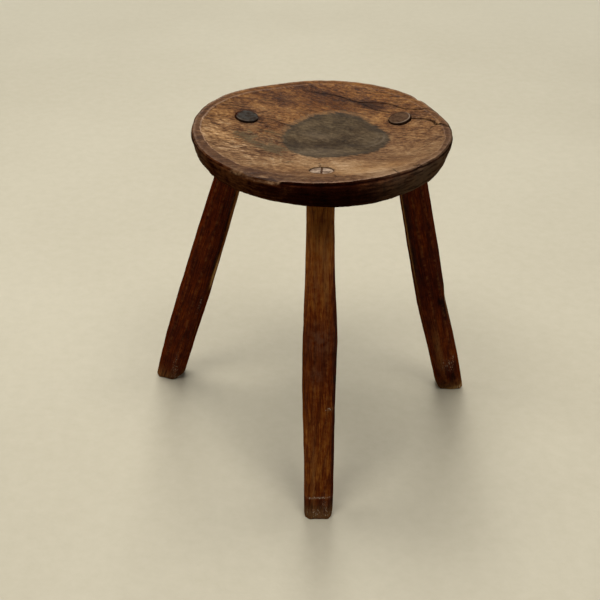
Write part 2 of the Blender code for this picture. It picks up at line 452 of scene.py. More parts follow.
def seat_mesh():
    """The slab before its mortises and cracks are cut."""
    share, angle = polar(*disc_grid(TOP_CELLS))
    x = share * top_reach(angle) * np.cos(angle)
    y = share * top_reach(angle) * np.sin(angle)
    depth = top_depth(x, y)
    faces = grid_faces(TOP_CELLS, TOP_CELLS)
    loop = grid_rim(TOP_CELLS, TOP_CELLS)
    angle = angle[loop]
    rings = side_rings(angle, depth[loop])
    first = len(x)
    size = len(loop)
    skirt = [(first + (i + 1) % size, first + i, loop[i], loop[(i + 1) % size]) for i in range(size)]
    skirt += loft_faces(len(rings), size, first)
    outer = first + (len(rings) - 1) * size
    for reach_share in UNDERSIDE_SHARES:
        inner = outer + size
        if size > UNDERSIDE_LEAST_POINTS:
            skirt += half_ring_faces(outer, inner, size)
            angle = angle[::2]
        else:
            skirt += loft_faces(2, size, outer)
        radius = outline(angle) * reach_share
        ring = flat(radius * np.cos(angle), radius * np.sin(angle))
        usual = SIDE_DEPTH[-1] * thickness_share(ring[:, 0], ring[:, 1])
        ring[:, 2] = usual - UNDERSIDE_LIFT - 0.5 * noise(ring, 20, 31)
        rings.append(ring)
        size = len(angle)
        outer = inner
    rings.append(np.array(((0.0, 0.0, SIDE_DEPTH[-1] * MIDDLE_SHARE - UNDERSIDE_LIFT),)))
    skirt += [(outer + size, outer + i, outer + (i + 1) % size) for i in range(size)]
    faces += [face[::-1] for face in skirt]
    return mesh_object("seat_slab", seat_world(*np.vstack((np.column_stack((x, y, depth)), *rings)).T), faces)


def resample(points, step):
    """Even points along a polyline, with each one's share of the whole length."""
    points = np.asarray(points, float)
    lengths = np.hypot(*np.diff(points, axis=0).T)
    total = np.concatenate(((0,), np.cumsum(lengths)))
    count = max(3, int(total[-1] / step) + 1)
    places = np.linspace(0, total[-1], count)
    x = np.interp(places, total, points[:, 0])
    y = np.interp(places, total, points[:, 1])
    return np.column_stack((x, y)), places / total[-1]


def crack_line(index, path):
    """A crack's jagged course: points, normals, shares of the way, and where to sample noise."""
    points, share = resample(path, 2.2)
    sample = np.column_stack((points, np.full(len(points), 7.0 * index)))
    tangent = np.gradient(points, axis=0)
    tangent /= np.linalg.norm(tangent, axis=1)[:, None]
    normal = np.column_stack((-tangent[:, 1], tangent[:, 0]))
    wander = 0.7 * noise(sample, 6.0, 41) + 0.3 * noise(sample, 2.5, 42)
    return points + normal * wander[:, None], normal, share, sample


def crack_cutter(index, path, widths, depths):
    """A jagged wedge that opens a crack: a V whose walls part towards the top."""
    points, normal, share, sample = crack_line(index, path)
    width = np.interp(share, (0, 0.5, 1), widths) * (1 + 0.35 * noise(sample, 4.0, 43))
    depth = np.interp(share, (0, 0.5, 1), depths)
    surface = np.minimum(top_depth(*points.T), 15)
    flare = 1 + CRACK_CUTTER_RISE / np.maximum(depth, 1.0)
    reach = normal * (0.5 * width * flare)[:, None]
    top = surface - CRACK_CUTTER_RISE
    rows = [(points + reach, top), (points - reach, top), (points, surface + depth)]
    rings = np.stack([np.column_stack(row) for row in rows], axis=1).reshape(-1, 3)
    last = 3 * (len(points) - 1)
    faces = loft_faces(len(points), 3) + [(2, 1, 0), (last, last + 1, last + 2)]
    return face_out(mesh_object(f"crack_cutter_{index}", seat_world(*rings.T), faces))


# ---------------------------------------------------------------- the legs' shape

FACET_COUNT = 8
LEG_RING_POINTS = 112
LEG_STEP = 1.6
STROKES = 24
CORNER_RUB = 0.55
END_TRIM = 0.975
SKIN_RADIUS = 17.0
BORE_SEGMENTS = 96

# By height up the leg, in millimetres: the stick's breadth, depth, chamfer and bow. Then its tenon's radius,
# how far the end leans from level (0) to square (1), how far it is sunk, and its bore's slack and shift.
LEG_SHAPES = {
    "front_leg": SimpleNamespace(
        turn=3.0,
        height=(0, 60, 170, 230, 262, 290, 375),
        breadth=(34.5, 35.5, 39.0, 39.3, 37.6, 35.6, 31.6),
        depth=(33.0, 34.0, 37.0, 37.0, 36.0, 34.5, 31.6),
        chamfer=(5.0, 5.0, 6.0, 6.0, 6.3, 6.5, 7.0),
        bow=(0.0, 0.0, 0.0, 0.0, 0.0, -0.3, -0.6),
        seed=100, tenon=13.7, end_lean=0.8, sunk=-0.2, gap=(0.2, -0.2),
    ),
    "left_leg": SimpleNamespace(
        turn=-22.0,
        height=(0, 70, 160, 250, 375),
        breadth=(34.0, 37.0, 38.5, 37.0, 32.0),
        depth=(33.5, 36.0, 37.0, 36.0, 32.0),
        chamfer=(6.5, 7.0, 8.0, 8.0, 8.0),
        bow=(0.0, -1.2, -0.8, 0.0, 0.0),
        seed=200, tenon=14.0, end_lean=0.45, sunk=0.2, gap=(0.25, 0.0),
    ),
    "right_leg": SimpleNamespace(
        turn=14.0,
        height=(0, 60, 150, 240, 375),
        breadth=(34.5, 36.0, 36.6, 36.4, 35.0),
        depth=(34.0, 34.5, 35.0, 35.0, 33.8),
        chamfer=(6.0, 6.5, 7.0, 7.0, 7.5),
        bow=(0.0, -0.5, -2.7, -1.3, 1.9),
        seed=300, tenon=13.5, end_lean=1.0, sunk=-0.7, gap=(0.7, -0.45),
    ),
}

# Hollows on each leg, as marked() takes them: their amounts are their depths.
LEG_HOLLOWS = {
    "front_leg": ((246, 178, 5, 30, 0.7), (147, -52, 3, 12, 0.7), (27, -90, 1.1, 22, 0.35),
                  (0, -140, 6, 18, 0.9), (0, -38, 7, 18, 1.1)),
    "left_leg": ((205, -42, 30, 16, 0.9), (150, -60, 16, 10, 0.5), (0, -30, 12, 24, 2.2)),
    "right_leg": ((163, -30, 12, 14, 1.0), (140, -22, 16, 12, 0.7), (0, -125, 15, 22, 3.6)),
}


def marked(along, angle, marks):
    """The sum of soft marks, each given as height, direction, size up the leg and round it, and amount."""
    total = np.zeros_like(angle)
    for height, towards, size_along, size_round, amount in marks:
        turn = turn_from(angle, towards) / math.radians(size_round)
        total += amount * np.exp(-((along - height) / size_along) ** 2 - turn**2)
    return total


def tenon_centre(node):
    """The middle of the round tenon's end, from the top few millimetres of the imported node."""
    points = np.array([v.co for v in frame["nodes"][node].data.vertices])
    top = points[points[:, 2] > points[:, 2].max() - 9.5 * MM]
    return Vector((top.min(axis=0) + top.max(axis=0)) / 2)


def sole_centre(node):
    """The middle of the sole, from the record's mount for that foot."""
    name = node.replace("_leg", "_foot")
    return Vector(next(m["pos_m"] for m in frame["record"]["mounts"] if m["name"] == name))


def leg_placement(node):
    """The leg's own frame: origin at the sole, Z up the leg, -Y out of its broad face; and its length."""
    foot = sole_centre(node)
    axis = tenon_centre(node) - foot
    tilt = Vector((0.0, 0.0, 1.0)).rotation_difference(axis).to_matrix()
    turn = Matrix.Rotation(math.radians(LEG_SHAPES[node].turn), 3, "Z")
    return Matrix.Translation(foot) @ (tilt @ turn).to_4x4(), axis.length / MM


def moved(points, matrix):
    matrix = np.array(matrix)
    return points @ matrix[:3, :3].T + matrix[:3, 3]


def to_world(points, placement):
    """Points of a leg's own frame, in millimetres, as places in the world."""
    return moved(points * MM, placement)


def blade_strokes(along, seed, length):
    """How a facet wanders: overlapping knife strokes, each a shallow scoop with a small step at its end."""
    rng = np.random.default_rng(seed)
    ends = np.cumsum(rng.uniform(28, 75, STROKES)) - rng.uniform(0, 40)
    offsets = rng.uniform(-0.18, 0.18, STROKES + 1)
    index = np.searchsorted(ends, along)
    starts = np.concatenate(((-60.0,), ends))
    stops = np.concatenate((ends, (length + 60.0,)))
    share = np.clip((along - starts[index]) / (stops[index] - starts[index]), 0, 1)
    lower = offsets[index]
    upper = offsets[np.minimum(index + 1, STROKES)]
    return lower + (upper - lower) * smooth_step(0.75, 1.0, share) - 0.22 * np.sin(math.pi * share)


def hewn_radius(shape, along, angle, length):
    """How far the skin is from the axis: the nearest of eight wandering facets, with rubbed corners."""
    half_breadth = np.interp(along, shape.height, shape.breadth) / 2
    half_depth = np.interp(along, shape.height, shape.depth) / 2
    corner = (half_breadth + half_depth - np.interp(along, shape.height, shape.chamfer)) / math.sqrt(2)
    reach = []
    for k in range(FACET_COUNT):
        distance = (half_breadth, corner, half_depth, corner)[k % 4]
        distance = distance + blade_strokes(along, shape.seed + k, length)
        wander = 0.05 * np.sin(along / (31.0 + 3 * k) + k)
        cosine = np.cos(angle - k * math.tau / FACET_COUNT - wander)
        reach.append(np.where(cosine > 0.2, distance / np.maximum(cosine, 0.2), 1e3))
    reach = np.array(reach)
    nearest = reach.min(axis=0)
    return nearest - CORNER_RUB * np.log(np.exp(-(reach - nearest) / CORNER_RUB).sum(axis=0))


def leg_ring(node, along, angle, length, placement):
    """One ring of a leg, in its own frame. Its shoulder meets the slab's underside."""
    shape = LEG_SHAPES[node]
    place = np.full_like(angle, along)
    radius = hewn_radius(shape, place, angle, length) - marked(place, angle, LEG_HOLLOWS[node])
    skin = np.column_stack((SKIN_RADIUS * np.cos(angle), SKIN_RADIUS * np.sin(angle), place))
    radius = radius + 0.16 * noise(skin, (5, 5, 26), shape.seed + 31)
    radius = radius + 0.07 * noise(skin, (1.8, 1.8, 11), shape.seed + 32)
    foot = np.clip(along / 3.5, 0, 1)
    radius = radius - (1 - foot) ** 2 * (0.9 + 0.8 * noise(skin, (5, 5, 60), shape.seed + 33))
    tenon = shape.tenon + 0.1 * noise(skin, (9, 9, 40), shape.seed + 34)
    seat_x, seat_y, depth = seat_local(to_world(skin, placement))
    blend = smooth_step(0.2, 1.6, underside_depth(seat_x, seat_y) - depth)
    radius = radius + (np.minimum(radius, tenon) - radius) * blend
    bow = np.interp(along, shape.height, shape.bow) * (1 - blend)
    return radius * np.cos(angle) + bow, radius * np.sin(angle), place


def end_rings(x, y, length, seed):
    """Rings across the tenon's end, from its rim to near its middle: a low rough dome."""
    rings = []
    for share in (0.93, 0.82, 0.68, 0.52, 0.36, 0.2):
        ring = flat(x * share, y * share)
        rough = 0.22 * noise(ring, 4.0, seed + 51) + 0.1 * noise(ring, 1.6, 52)
        ring[:, 2] = length + 0.25 * (1 - share**2) + rough * 0.6
        rings.append(ring)
    return rings


def leg_mesh(node):
    """A hewn leg from its sole to its tenon's end."""
    placement, length = leg_placement(node)
    shape = LEG_SHAPES[node]
    up = np.array(placement)[2, :3]
    angle = np.arange(LEG_RING_POINTS) * math.tau / LEG_RING_POINTS
    places = np.linspace(0, length, int(length / LEG_STEP))
    rings = []
    for along in (*places[:-1], length - 0.5, length - 0.12):
        x, y, z = leg_ring(node, along, angle, length, placement)
        z = z - (x * up[0] + y * up[1]) / up[2] * (1 - smooth_step(0, 60, z))
        rings.append(np.column_stack((x, y, z)))
    rings[-1][:, :2] *= END_TRIM
    rings += end_rings(x, y, length, shape.seed)
    points = np.vstack((*rings, (0.0, 0.0, length + 0.25), (0.0, 0.0, 0.0)))
    slope = (shape.end_lean - 1) / up[2]
    near_end = smooth_step(length - 25, length, points[:, 2])
    points[:, 2] += near_end * (points[:, :2] @ up[:2] * slope - shape.sunk)
    faces = loft_faces(len(rings), LEG_RING_POINTS)
    top_centre = len(rings) * LEG_RING_POINTS
    last = top_centre - LEG_RING_POINTS
    for i in range(LEG_RING_POINTS):
        j = (i + 1) % LEG_RING_POINTS
        faces += [(last + i, last + j, top_centre), (j, i, top_centre + 1)]
    world = to_world(points, placement)
    world[:, 2] = np.where(world[:, 2] < 0.02 * MM, 0.0, world[:, 2])
    return mesh_object(node + "_hewn", world, faces), placement, length


def bore_cutter(name, placement, radius, start, end, shift):
    """A round bore along a leg, shifted a little towards one side of it."""
    builder = bmesh.new()
    bmesh.ops.create_cone(
        builder,
        cap_ends=True,
        segments=BORE_SEGMENTS,
        radius1=radius * MM,
        radius2=radius * MM,
        depth=(end - start) * MM,
        matrix=Matrix.Translation((0.0, shift * MM, (start + end) / 2 * MM)),
    )
    builder.transform(placement)
    mesh = bpy.data.meshes.new(name)
    builder.to_mesh(mesh)
    builder.free()
    return add_object(name, mesh)


# ---------------------------------------------------------------- node helpers

class Shader:
    """A small helper for building the nodes of a material or a world.

    Wherever a value is asked for, a string stands for the mesh attribute of that name.
    """

    def __init__(self, owner):
        owner.use_nodes = True
        self.owner = owner
        self.nodes = owner.node_tree.nodes
        self.links = owner.node_tree.links

    def node(self, kind, inputs=None, **settings):
        node = self.nodes.new("ShaderNode" + kind)
        for key, value in settings.items():
            setattr(node, key, value)
        for key, value in (inputs or {}).items():
            self.feed(node.inputs[key], value)
        return node

    def feed(self, socket, value):
        if isinstance(value, str):
            value = self.attribute(value)
        if isinstance(value, bpy.types.NodeSocket):
            self.links.new(value, socket)
        elif socket.type == "RGBA" and isinstance(value, tuple):
            socket.default_value = (*value, 1.0)
        else:
            socket.default_value = value

    def attribute(self, name, output="Fac"):
        return self.node("Attribute", attribute_name=name).outputs[output]

    def math(self, operation, a, b=0.0, c=0.0, clamp=False):
        return self.node("Math", {0: a, 1: b, 2: c}, operation=operation, use_clamp=clamp).outputs[0]

    def add(self, a, b):
        return self.math("ADD", a, b)

    def times(self, a, b):
        return self.math("MULTIPLY", a, b)

    def push(self, value, *patterns):
        """A value pushed either way by 0 to 1 patterns, each given with its amount."""
        for pattern, amount in patterns:
            value = self.add(value, self.math("MULTIPLY_ADD", pattern, amount, -0.5 * amount))
        return value

    def remap(self, value, low, high, to_low=0.0, to_high=1.0):
        inputs = {"Value": value, "From Min": low, "From Max": high, "To Min": to_low, "To Max": to_high}
        return self.node("MapRange", inputs, interpolation_type="SMOOTHSTEP").outputs["Result"]

    def noise(self, vector, scale, detail=4.0, roughness=0.55):
        """Noise of one scale, or of one for each axis."""
        if isinstance(scale, tuple):
            vector = self.node("VectorMath", {0: vector, 1: scale}, operation="MULTIPLY").outputs[0]
            scale = 1.0
        inputs = {"Vector": vector, "Scale": scale, "Detail": detail, "Roughness": roughness}
        return self.node("TexNoise", inputs).outputs["Fac"]

    def mix(self, factor, a, b, blend_type="MIX"):
        inputs = {0: factor, 6: a, 7: b}
        return self.node("Mix", inputs, data_type="RGBA", blend_type=blend_type).outputs[2]

    def tinted(self, color, tint):
        return self.mix(1.0, color, tint, "MULTIPLY")

    def coats(self, color, *coats):
        """A base colour with others laid over it in turn, each given as its share and its colour."""
        for share, coat in coats:
            color = self.mix(share, color, coat)
        return color

    def ramp(self, value, *stops):
        node = self.node("ValToRGB", {"Fac": value})
        elements = node.color_ramp.elements
        while len(elements) < len(stops):
            elements.new(0.5)
        for element, (place, color) in zip(elements, stops):
            element.position = place
            element.color = (*color, 1.0)
        return node.outputs["Color"]

    def bumps(self, *layers):
        """A normal bumped by several patterns, each given with its height."""
        normal = None
        for height, distance in layers:
            node = self.node("Bump", {"Height": height, "Distance": distance, "Strength": 1.0})
            if normal is not None:
                self.feed(node.inputs["Normal"], normal)
            normal = node.outputs["Normal"]
        return normal

    def finish(self, color, roughness, normal, shine):
        inputs = self.nodes["Principled BSDF"].inputs
        self.feed(inputs["Base Color"], color)
        self.feed(inputs["Roughness"], roughness)
        self.feed(inputs["Normal"], normal)
        self.feed(inputs["Specular IOR Level"], shine)
        return self.owner

    def seen_from_camera(self, share, seen, otherwise, output):
        """Shows one shader to the camera, as far as the share goes, and another one to all other rays."""
        share = self.times(share, self.node("LightPath").outputs["Is Camera Ray"])
        blend = self.node("MixShader", {0: share, 1: otherwise, 2: seen}).outputs[0]
        self.feed(self.nodes[output].inputs["Surface"], blend)


def new_shader(name):
    return Shader(bpy.data.materials.new(name))


# ---------------------------------------------------------------- materials

def grain_layers(shader, ring_spacing, ring_wobble, fineness=1.0, rise=1.0):
    """The patterns that all the wood shares, in the log's own coordinates (X along the grain, metres).

    rise is how fast the patterns change with height, against how fast they change across the grain.
    """
    grain = shader.attribute("grain", "Vector")

    def lines(along, across, detail, roughness):
        scale = (along * fineness, across * fineness, across * fineness * rise)
        return shader.noise(grain, scale, detail, roughness)

    ring = shader.push("ring", (lines(5.0, 30.0, 3.0, 0.5), ring_wobble))
    saw = shader.math("FRACT", shader.math("DIVIDE", ring, ring_spacing))
    return SimpleNamespace(
        lines=lines,
        place=shader.node("TexCoord").outputs["Object"],
        rings=shader.times(shader.math("POWER", saw, 3.0), shader.remap(saw, 0.93, 1.0, 1.0, 0.0)),
        streak=lines(26.0, 190.0, 5.0, 0.65),
        fibre=lines(30.0, 620.0, 5.0, 0.7),
        pores=shader.remap(lines(120.0, 1400.0, 2.0, 0.5), 0.62, 0.72),
    )


def seat_top_color(shader, layer):
    """Rubbed tan and dark passages, warm and pale ones, growth rings, the darker rim, and its light worn
    edges, the outer one with a painted highlight too.
    """
    band = layer.lines(7.0, 75.0, 3.0, 0.5)
    patterns = ((layer.blotch, 0.8), (band, 0.35), (layer.streak, 0.5), (layer.fleck, 0.9),
                (layer.mottle, 0.9), (layer.fibre, 0.9), (layer.grit, 1.3))
    tone = shader.add("patina", shader.times(shader.push(0.0, *patterns), "contrast"))
    color = shader.ramp(
        tone,
        (0.0, (0.020, 0.0085, 0.0045)),
        (0.25, (0.062, 0.0265, 0.0115)),
        (0.48, (0.142, 0.071, 0.0290)),
        (0.70, (0.250, 0.146, 0.0640)),
        (1.0, (0.44, 0.30, 0.170)),
    )
    warmth = shader.push("warmth", (shader.noise(layer.place, 22.0, 3.0, 0.5), 1.6))
    pale = shader.tinted(color, (1.00, 1.00, 1.05))
    warm = shader.tinted(color, (1.06, 0.90, 0.68))
    color = shader.mix(shader.remap(warmth, 0.0, 1.0), pale, warm)
    checks = shader.remap(layer.lines(48.0, 360.0, 3.0, 0.6), 0.62, 0.68)
    color = shader.coats(
        color,
        (shader.remap(warmth, 0.9, 1.5), shader.tinted(color, (1.03, 0.93, 0.72))),
        (shader.times(layer.rings, "ring_gain"), (0.050, 0.022, 0.009)),
        (shader.times(checks, 0.7), (0.040, 0.019, 0.008)),
    )
    rim = shader.tinted(shader.mix(0.30, color, (0.205, 0.118, 0.070)), (0.42, 0.350, 0.32))
    line = shader.remap(shader.math("ABSOLUTE", "rim_line"), 0.1, 1.0, 1.0, 0.0)
    edge = shader.math("MAXIMUM", "edge", shader.times(line, "rim_line_gain"))
    # Light worn edges: the rim's inner edge, and the top's outer edge, which also carries a painted
    # highlight.
    worn = shader.times(edge, shader.remap(layer.mottle, 0.30, 0.55, 0.25, 1.0))
    return shader.coats(color, ("band", rim), (shader.times(worn, 0.8), (0.40, 0.260, 0.175)))


def stained_color(shader, layer, color):
    """The top with its dark round stain and the smudges beside it; and where the stain is."""
    ragged = shader.push("stain", (layer.mottle, 9.0), (layer.blotch, 9.0), (layer.fleck, 9.0))
    inside = shader.remap(ragged, 2.5, -3.5)
    halo = shader.times(shader.remap(ragged, 8.0, 4.0), "halo")
    color = shader.mix(halo, color, (0.210, 0.152, 0.082))
    cloud = ((layer.blotch, 1.3), (layer.fleck, 0.9), (layer.mottle, 0.9), (layer.grit, 1.2))
    stain = shader.ramp(
        shader.push(0.5, *cloud),
        (0.15, (0.019, 0.0110, 0.0046)),
        (0.5, (0.046, 0.0295, 0.0135)),
        (0.85, (0.098, 0.066, 0.0335)),
    )
    hem = shader.times(shader.remap(ragged, -9.0, -2.0), inside)
    stained = shader.coats(
        shader.tinted(color, (0.42, 0.55, 0.75)),
        (0.72, stain),
        (shader.times(hem, 0.5), (0.034, 0.026, 0.018)),
        ("stain_rings", (0.165, 0.125, 0.085)),
        ("stain_spots", (0.026, 0.018, 0.012)),
    )
    color = shader.mix(inside, color, stained)
    smear = shader.remap(shader.push("smudge", (layer.fleck, 2.6), (layer.mottle, 2.2)), 0.25, 0.80)
    smeared = shader.mix(0.6, shader.tinted(color, (0.52, 0.56, 0.56)), (0.070, 0.051, 0.027))
    return shader.mix(smear, color, smeared), inside


def seat_side_color(shader, layer):
    """The side and underside: near black in front, dusty brown towards the ends and the back."""
    courses = shader.noise(layer.place, (50.0, 50.0, 330.0), 4.0, 0.65)
    pattern = shader.push(0.0, (courses, 1.8), (layer.blotch, 1.4), (layer.mottle, 1.2))
    color = shader.ramp(
        shader.add(shader.times(pattern, "side_contrast"), "side_tone"),
        (0.1, (0.0030, 0.0006, 0.0003)),
        (0.5, (0.0175, 0.0036, 0.0012)),
        (0.9, (0.085, 0.0290, 0.0090)),
    )
    dust = shader.times("dust", shader.remap(courses, 0.36, 0.58, 0.3, 1.0))
    return shader.mix(dust, color, (0.090, 0.056, 0.033))


def seat_material():
    """Old worn hardwood: tan where it is rubbed, dark where it isn't, and stained in the middle."""
    shader = new_shader("seat_wood_worn")
    layer = grain_layers(shader, 0.0042, 0.006, rise=0.3)
    layer.blotch = shader.noise(layer.place, 38.0, 5.0, 0.6)
    layer.mottle = shader.noise(layer.place, 150.0, 6.0, 0.7)
    layer.fleck = layer.lines(85.0, 330.0, 4.0, 0.6)
    layer.grit = layer.lines(240.0, 560.0, 3.0, 0.7)
    top, stain = stained_color(shader, layer, seat_top_color(shader, layer))
    splintered_wood = shader.ramp(
        shader.push(0.42, (layer.fleck, 2.2), (layer.mottle, 1.4)),
        (0.15, (0.028, 0.010, 0.004)),
        (0.45, (0.086, 0.041, 0.018)),
        (0.85, (0.24, 0.142, 0.073)),
    )
    color = shader.coats(
        seat_side_color(shader, layer),
        (shader.remap(shader.push("top", (layer.mottle, 0.5)), 0.40, 0.60), top),
        (shader.times("bare", shader.remap(layer.blotch, 0.34, 0.50)), splintered_wood),
        (shader.times(layer.pores, 0.4), (0.020, 0.009, 0.005)),
        # Dirt and painted shade in the cracks and round the tenons.
        ("grime", (0.008, 0.004, 0.003)),
    )
    roughness = shader.add(shader.remap(layer.blotch, 0.3, 0.7, 0.42, 0.60), shader.times(stain, 0.08))
    roughness = shader.add(roughness, shader.times("grime", 0.25))
    normal = shader.bumps(
        (layer.fibre, 0.0008), (layer.rings, 0.0004), (layer.pores, -0.0003),
        (layer.fleck, 0.0008), (layer.mottle, 0.0008), (layer.grit, 0.0005),
    )
    return shader.finish(color, roughness, normal, shader.remap("top", 0.3, 0.7, 0.0, 0.14))


def leg_material(name, end_light, end_dark, tint=(1.0, 1.0, 1.0)):
    """Dark red-brown hewn wood with a dull sheen, and a cut end in its own colours."""
    shader = new_shader(name)
    layer = grain_layers(shader, 0.0031, 0.004, fineness=1.25)
    blotch = shader.noise(layer.place, 30.0, 4.0, 0.6)
    mottle = shader.noise(layer.place, 150.0, 4.0, 0.6)
    skin = shader.ramp(
        shader.push("tone", (layer.streak, 0.35), (blotch, 0.35), (layer.fibre, 1.35), (mottle, 0.45)),
        (0.05, (0.011, 0.0014, 0.0004)),
        (0.35, (0.052, 0.0075, 0.0011)),
        (0.60, (0.125, 0.0260, 0.0032)),
        (0.85, (0.250, 0.0820, 0.0130)),
        (1.0, (0.340, 0.130, 0.0250)),
    )
    lip = shader.times("edge", shader.remap(mottle, 0.42, 0.66))
    cut = shader.mix(shader.remap(shader.noise(layer.place, 160.0), 0.36, 0.62), end_dark, end_light)
    cut = shader.mix(shader.times(layer.rings, 0.4), cut, end_dark)
    specks = shader.remap(layer.lines(240.0, 496.0, 2.0, 0.6), 0.57, 0.66, 0.03, 1.0)
    # Chalky marks on the shaft, and the rubbed rim and painted highlights on the tenon's end.
    chalky = shader.math("MULTIPLY", "chalk", shader.mix("end", specks, (1.0, 1.0, 1.0)), clamp=True)
    color = shader.coats(
        shader.tinted(skin, tint),
        (shader.times(layer.rings, 0.5), (0.022, 0.006, 0.003)),
        (shader.times("wear", shader.remap(layer.fibre, 0.34, 0.54)), (0.44, 0.250, 0.085)),
        (shader.times("dull", shader.remap(mottle, 0.32, 0.58)), (0.098, 0.042, 0.024)),
        (shader.times(lip, 0.45), (0.18, 0.070, 0.022)),
        (shader.times(layer.pores, 0.4), (0.012, 0.005, 0.003)),
        ("end", cut),
        (chalky, (0.42, 0.32, 0.235)),
        # Painted shade with some dirt where the tenon goes into the slab, round the rim of its end, and down
        # the wedge.
        ("grime", (0.010, 0.004, 0.002)),
    )
    roughness = shader.add(shader.remap(blotch, 0.3, 0.7, 0.34, 0.50), shader.times("end", 0.15))
    normal = shader.bumps(
        (layer.fibre, 0.0005), (layer.rings, 0.0003), (layer.pores, -0.0003), (mottle, 0.0006),
    )
    facing = shader.node("LayerWeight", {"Blend": 0.5}).outputs["Facing"]
    return shader.finish(color, roughness, normal, shader.remap(facing, 0.25, 0.65, 0.02, 0.0))


BACKDROP = (0.64, 0.59, 0.45)
FLOOR_FADE_START = 1.2
FLOOR_FADE_END = 3.2


def floor_material():
    """Plain pale concrete with a faint cloudiness, which fades far away into the backdrop's colour."""
    shader = new_shader("pale_floor")
    place = shader.node("TexCoord").outputs["Object"]
    speck = shader.noise(place, 60.0, 4.0, 0.6)
    tone = shader.add(shader.times(shader.noise(place, 1.3, 5.0), 0.7), shader.times(speck, 0.3))
    color = shader.ramp(tone, (0.3, (0.415, 0.377, 0.282)), (0.7, (0.493, 0.456, 0.352)))
    material = shader.finish(color, 0.75, shader.bumps((speck, 0.0004)), 0.15)
    distance = shader.node("VectorMath", {0: place}, operation="LENGTH").outputs["Value"]
    fade = shader.remap(distance, FLOOR_FADE_START, FLOOR_FADE_END)
    glow = shader.node("Emission", {"Color": BACKDROP}).outputs[0]
    concrete = shader.nodes["Principled BSDF"].outputs[0]
    shader.seen_from_camera(fade, glow, concrete, "Material Output")
    return material


# ---------------------------------------------------------------- attributes for the materials

# How much darker the rim is than the rest of the top, at even steps from the +X side.
BAND_SHADE = (0.85, 0.5, 0.3, 0.1, 0.0, 0.2, 0.4, 0.8,
              1.0, 1.0, 1.0, 0.74, 0.70, 0.58, 0.44, 0.55)

# How light the rim's inner edge is, and the top's outer edge, which is worn and also painted with a
# highlight.
RIM_LINE = (0.28, 0.2, 0.2, 0.4, 0.8, 1.0, 0.2, 0.25)
EDGE_WEAR_AND_HIGHLIGHT = (0.3, 0.65, 0.9, 0.8, 0.4, 0.1, 0.5, 0.45)

STAIN_CENTRE = (15.0, 10.0)
STAIN_RADIUS = (66.5, 59.5, 60.0, 64.5, 67.0, 62.5, 60.0, 61.0,
                63.5, 63.5, 66.5, 65.0, 59.0, 56.5, 60.5, 63.5)

# Light and dark passages of the seat's top: amount, place, and size along and across the grain.
PATINA_BASE = 0.44
PATINA_PATCHES = (
    (0.19, -122, -8, 36, 34),
    (0.04, -70, -68, 50, 24),
    (0.28, 30, -84, 84, 22),
    (0.13, 104, -60, 34, 26),
    (0.16, 60, -118, 60, 16),
    (0.04, -44, 76, 28, 20),
    (0.10, -118, 40, 26, 14),
    (0.04, 40, 138, 60, 8),
    (0.08, 122, 86, 24, 12),
    (0.22, 68, 56, 12, 9),
    (-0.20, 6, 119, 46, 8),
    (-0.18, 52, 101, 40, 6),
    (-0.14, 84, 78, 18, 8),
    (-0.26, 62, 90, 17, 7),
    (-0.18, -62, 104, 30, 12),
    (-0.18, -96, 78, 16, 14),
    (0.08, 98, -14, 44, 22),
    (-0.06, 96, 36, 20, 8),
    (-0.10, -92, 24, 22, 9),
    (-0.10, -70, 52, 26, 12),
    (-0.26, 0, 101, 44, 13),
    (-0.10, -30, 20, 30, 20),
)


# Each log's pith, in the two directions across its grain.
SEAT_PITH = (30.0, -75.0)
LEG_PITH = (26.0, 60.0)


def log_coordinates(along, across, height, seed, pith, bend=(6.0, 85.0)):
    """Solid grain coordinates in metres (X along the grain), and the distance from the log's pith."""
    solid = np.column_stack((along, across, height))
    amount, cell = bend
    across_bent = across + amount * noise(solid, (cell, cell * 0.7, cell * 0.7), seed)
    height_bent = height + amount * noise(solid, (cell, cell * 0.7, cell * 0.7), seed + 1)
    ring = np.hypot(across_bent - pith[0], height_bent - pith[1]) + 0.035 * along
    return {"grain": np.column_stack((along, across_bent, height_bent)) * MM, "ring": ring * MM}


def circle_arc(x, y, centre, size, start, stop):
    """A thin ring mark of the given radius, which shows between two directions in degrees."""
    radius, angle = polar(x - centre[0], y - centre[1])
    half = math.radians((stop - start) / 2)
    turn = np.abs(turn_from(angle, (start + stop) / 2))
    return np.exp(-((radius - size) / 1.5) ** 2) * smooth_step(half, half * 0.6, turn)


def paint_grain(piece, x, y, depth):
    """The seat's grain, which curls a little across the front and the right."""
    along, across = grain_coordinates(x, y)
    curl = 0.30 * np.clip(x, -40, None) * smooth_step(0, -120, y) - 0.0026 * np.clip(x + 15, None, 0) ** 2
    paint(piece, **log_coordinates(along, across - curl, -depth, 61, SEAT_PITH, (5.0, 80.0)))


